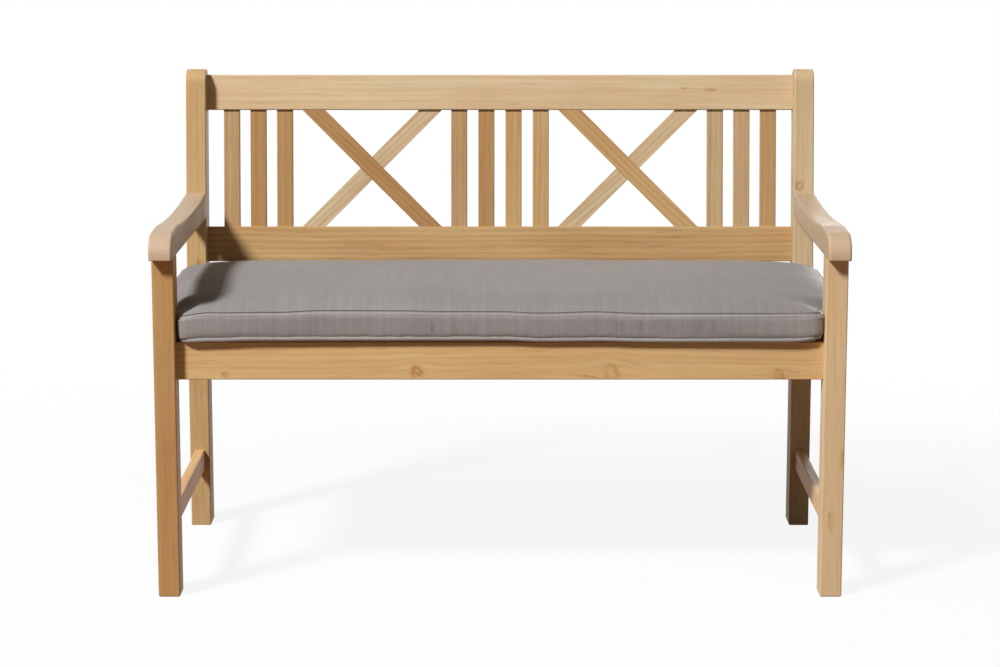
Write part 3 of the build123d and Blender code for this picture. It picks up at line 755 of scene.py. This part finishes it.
def crease_shade_mask(tree, x, y, z, upright):
    """How dark the painted shade of the boxing's small folds is."""
    along = ramp(tree, x, -CREASE_SPAN / 2 * mm, CREASE_SPAN / 2 * mm)
    table = node(tree, "ShaderNodeValToRGB", along).node
    stops = table.color_ramp.elements
    for stop in stops:
        stop.color = (0, 0, 0, 1)
    for x_mm, half, depth in CREASE_SHADOWS:
        for shift, value in ((-half, 0), (0, depth), (half, 0)):
            stops.new((x_mm + shift) / CREASE_SPAN + 0.5).color = (value, value, value, 1)
    low, high = seam_z["lower"] + CREASE_INSET, seam_z["upper"] - CREASE_INSET
    middle, reach = (low + high) / 2, (high - low) / 2
    off = maths(tree, "ABSOLUTE", maths(tree, "SUBTRACT", z, middle))
    crease = table.outputs["Color"]
    for part in (ramp(tree, off, reach * 0.5, reach, 1, 0, smooth=True),
                 ramp(tree, y, middle_y - half_deep / 2, middle_y, 1, 0), upright):
        crease = maths(tree, "MULTIPLY", crease, part)
    return crease


def cloth(name):
    """Warm grey outdoor cloth with fine ribs from front to back."""
    material, tree, output = new_tree(name)
    place = node(tree, "ShaderNodeTexCoord", out="Object")
    parts = node(tree, "ShaderNodeSeparateXYZ", place).node
    facing = node(tree, "ShaderNodeSeparateXYZ",
                  node(tree, "ShaderNodeNewGeometry", out="Normal")).node
    on_end = ramp(tree, maths(tree, "ABSOLUTE", facing.outputs["X"]), *ON_END)
    across = node(tree, "ShaderNodeMix", on_end, parts.outputs["X"], parts.outputs["Y"])
    across.node.data_type = "FLOAT"
    ribs = maths(tree, "SINE", maths(tree, "MULTIPLY", across, 2 * math.pi / RIB))
    ribs = ramp(tree, ribs, -1, 1)
    picks = figured(tree, place, PICK_RATE, 2)
    slubs = figured(tree, place, SLUB_RATE, 2)
    clouds = node(tree, "ShaderNodeTexNoise", place, named={"Scale": CLOUD_RATE, "Detail": 2})
    upright = ramp(tree, maths(tree, "ABSOLUTE", facing.outputs["Z"]), *UPRIGHT)
    warps = node(tree, "ShaderNodeTexNoise", node(tree, "ShaderNodeCombineXYZ", across),
                 named={"Scale": WARP_RATE, "Detail": 1})
    warps = ramp(tree, warps, *NOISE_SPAN, -WARP_SHADE, WARP_SHADE)
    flat = ramp(tree, facing.outputs["Z"], *ON_TOP)
    # Painted shade: the flat top grows darker towards the right end of the bench
    dark = maths(tree, "MULTIPLY", flat, ramp(tree, parts.outputs["X"], *END_SHADE_SPAN, 0, END_SHADE))
    # Painted shade of small folds in the boxing, which its shape doesn't have
    painted_crease_shade = crease_shade_mask(tree, *(parts.outputs[axis] for axis in "XYZ"), upright)
    shade = maths(tree, "ADD", maths(tree, "MULTIPLY", ribs, RIB_SHADE), 1 - RIB_SHADE)
    for part in (ramp(tree, picks, *NOISE_SPAN, *PICK_SHADES),
                 ramp(tree, slubs, *NOISE_SPAN, *SLUB_SHADES),
                 ramp(tree, clouds, *NOISE_SPAN, *CLOUD_SHADES),
                 maths(tree, "ADD", maths(tree, "MULTIPLY", warps, upright), 1),
                 maths(tree, "SUBTRACT", 1, dark),
                 ramp(tree, painted_crease_shade, 0, 1, 1, 1 - CREASE_SHADE)):
        shade = maths(tree, "MULTIPLY", shade, part)
    colour = vector_maths(tree, "SCALE", Vector(CLOTH_TONES[name]))
    tree.links.new(shade, colour.node.inputs["Scale"])
    height = maths(tree, "ADD", maths(tree, "MULTIPLY", ribs, RIB_BUMP),
                   maths(tree, "MULTIPLY", picks, PICK_BUMP))
    surface(tree, output, colour, CLOTH_ROUGHNESS, height, CLOTH_BUMP, CLOTH_SHEEN, GLOSS)
    return material


cover = bpy.data.objects.new("cushion_cover_filled", cut_cover())
scene.collection.objects.link(cover)
fill_cover(cover)
rounding = cover.modifiers.new("rounding", "SUBSURF")
rounding.levels = rounding.render_levels = 1
cover.data.materials.append(cloth("grey_cloth"))
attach(cover, "loose_cushion")
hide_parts("cushion_cover", "cushion_core")

cord_cloth = cloth("piping_cloth")
for level in ("upper", "lower"):
    cord = sew_cord(level)
    cord.data.materials.append(cord_cloth)
    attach(cord, "loose_cushion")
    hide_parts(f"cushion_{level}_piping")
